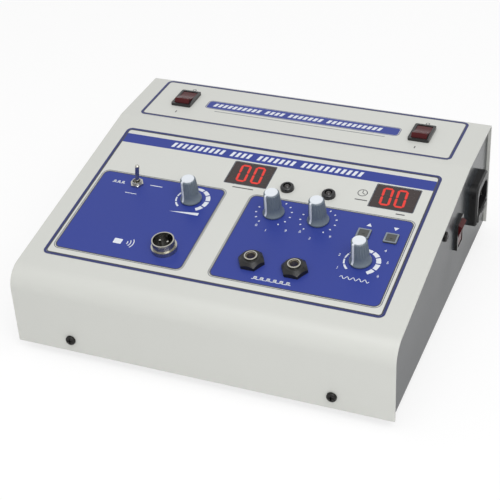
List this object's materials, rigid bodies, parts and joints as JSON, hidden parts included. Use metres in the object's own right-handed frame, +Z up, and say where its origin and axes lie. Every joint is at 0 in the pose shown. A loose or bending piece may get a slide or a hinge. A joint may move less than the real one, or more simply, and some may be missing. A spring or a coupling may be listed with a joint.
{
  "type": "ultrasound therapy device",
  "caption": "Wedge-shaped bench console for ultrasound and muscle-stimulation therapy: sloped control panel with turning knobs, digital displays, output sockets and rocker switches.",
  "frame": {"origin": "middle of the part's footprint, on the surface the feet stand on", "axes": "+X to the operator's right, +Y from the operator towards the rear wall, +Z up"},
  "size_m": [0.254, 0.2298, 0.0908],
  "materials": {
    "cover_paint": "satin",
    "tray_paint": "gloss",
    "label_film": "satin",
    "black_screw": "gloss",
    "plated_screw": "satin",
    "rubber": "matte",
    "window_tint": "gloss",
    "display_body": "matte",
    "circuit_board": "gloss",
    "brass": "satin",
    "pot_metal": "satin",
    "plated_nut": "polished",
    "toggle_metal": "satin",
    "chrome": "polished",
    "black_plastic": "satin",
    "black_gloss": "gloss",
    "lamp_lens": "gloss",
    "button_plastic": "matte",
    "rocker_red": "gloss",
    "fuse_glass": "clear",
    "core_steel": "satin",
    "winding": "satin",
    "clamp_steel": "satin",
    "sleeve": "gloss",
    "aluminium": "satin",
    "ferrite": "matte",
    "knob_plastic": "satin",
    "cap_plastic": "gloss"
  },
  "bodies": {
    "case": {"base_tray": "tray_paint", "board_standoffs": "brass", "capacitors": "sleeve", "control_board": "circuit_board", "control_label": "label_film", "cover_screws": "black_screw", "digit_displays": "display_body", "foot_screws": "plated_screw", "head_socket_insert": "black_plastic", "head_socket_nut": "plated_nut", "head_socket_pins": "brass", "head_socket_shell": "chrome", "heat_sink": "aluminium", "inlet_blades": "plated_nut", "jack_bodies": "black_plastic", "jack_nuts": "black_plastic", "jack_rings": "chrome", "lamp_holders": "black_gloss", "lamps": "lamp_lens", "left_switch_housing": "black_gloss", "mains_inlet": "black_plastic", "mains_switch_housing": "black_gloss", "mounting_screws": "plated_screw", "output_inductor": "ferrite", "output_window": "window_tint", "potentiometer_nuts": "plated_nut", "potentiometers": "pot_metal", "power_board": "circuit_board", "power_label": "label_film", "right_switch_housing": "black_gloss", "rubber_feet": "rubber", "switch_tabs": "brass", "tact_switches": "black_plastic", "timer_window": "window_tint", "toggle_body": "toggle_metal", "toggle_nut": "plated_nut", "top_cover": "cover_paint", "transformer_clamp": "clamp_steel", "transformer_coil": "winding", "transformer_core": "core_steel"},
    "intensity_dial": {"intensity_knob": "knob_plastic", "intensity_cap": "cap_plastic", "intensity_shaft": "pot_metal"},
    "channel_1_dial": {"channel_1_knob": "knob_plastic", "channel_1_cap": "cap_plastic", "channel_1_shaft": "pot_metal"},
    "channel_2_dial": {"channel_2_knob": "knob_plastic", "channel_2_cap": "cap_plastic", "channel_2_shaft": "pot_metal"},
    "frequency_dial": {"frequency_knob": "knob_plastic", "frequency_cap": "cap_plastic", "frequency_shaft": "pot_metal"},
    "toggle": {"toggle_lever": "chrome"},
    "left_rocker": {"left_rocker": "rocker_red"},
    "right_rocker": {"right_rocker": "rocker_red"},
    "mains_rocker": {"mains_rocker": "rocker_red"},
    "up_button": {"up_button": "button_plastic"},
    "down_button": {"down_button": "button_plastic"},
    "fuse_drawer": {"fuse_drawer": "black_plastic", "fuse": "fuse_glass"}
  },
  "joints": [
    {"name": "intensity_turn", "type": "hinge", "parent": "case", "child": "intensity_dial", "pos_m": [-0.04185, -0.02053, 0.07248], "axis": [0, 0.1547, -0.988], "range_deg": [0, 296]},
    {"name": "channel_1_turn", "type": "hinge", "parent": "case", "child": "channel_1_dial", "pos_m": [0.01495, -0.02003, 0.07256], "axis": [0, 0.1547, -0.988], "range_deg": [0, 296]},
    {"name": "channel_2_turn", "type": "hinge", "parent": "case", "child": "channel_2_dial", "pos_m": [0.04475, -0.02003, 0.07256], "axis": [0, 0.1547, -0.988], "range_deg": [0, 296]},
    {"name": "frequency_turn", "type": "hinge", "parent": "case", "child": "frequency_dial", "pos_m": [0.08145, -0.04849, 0.0681], "axis": [0, 0.1547, -0.988], "range_deg": [0, 296]},
    {"name": "toggle_flip", "type": "hinge", "parent": "case", "child": "toggle", "pos_m": [-0.08315, -0.01512, 0.07414], "axis": [0, -0.988, -0.1547], "range_deg": [0, 20]},
    {"name": "left_rocker_tilt", "type": "hinge", "parent": "case", "child": "left_rocker", "pos_m": [-0.09105, 0.0848, 0.083], "axis": [1, 0, 0], "range_deg": [0, 22]},
    {"name": "right_rocker_tilt", "type": "hinge", "parent": "case", "child": "right_rocker", "pos_m": [0.08195, 0.0848, 0.083], "axis": [1, 0, 0], "range_deg": [0, 22]},
    {"name": "mains_rocker_tilt", "type": "hinge", "parent": "case", "child": "mains_rocker", "pos_m": [0.11965, 0.0334, 0.0462], "axis": [0, -1, 0], "range_deg": [0, 22]},
    {"name": "up_press", "type": "slide", "parent": "case", "child": "up_button", "axis": [0, 0.1547, -0.988], "range_m": [0, 0.0008], "stiffness_N_per_m": 400, "springref_m": -0.002},
    {"name": "down_press", "type": "slide", "parent": "case", "child": "down_button", "axis": [0, 0.1547, -0.988], "range_m": [0, 0.0008], "stiffness_N_per_m": 400, "springref_m": -0.002},
    {"name": "fuse_drawer_pull", "type": "slide", "parent": "case", "child": "fuse_drawer", "axis": [1, 0, 0], "range_m": [0, 0.014]}
  ]
}
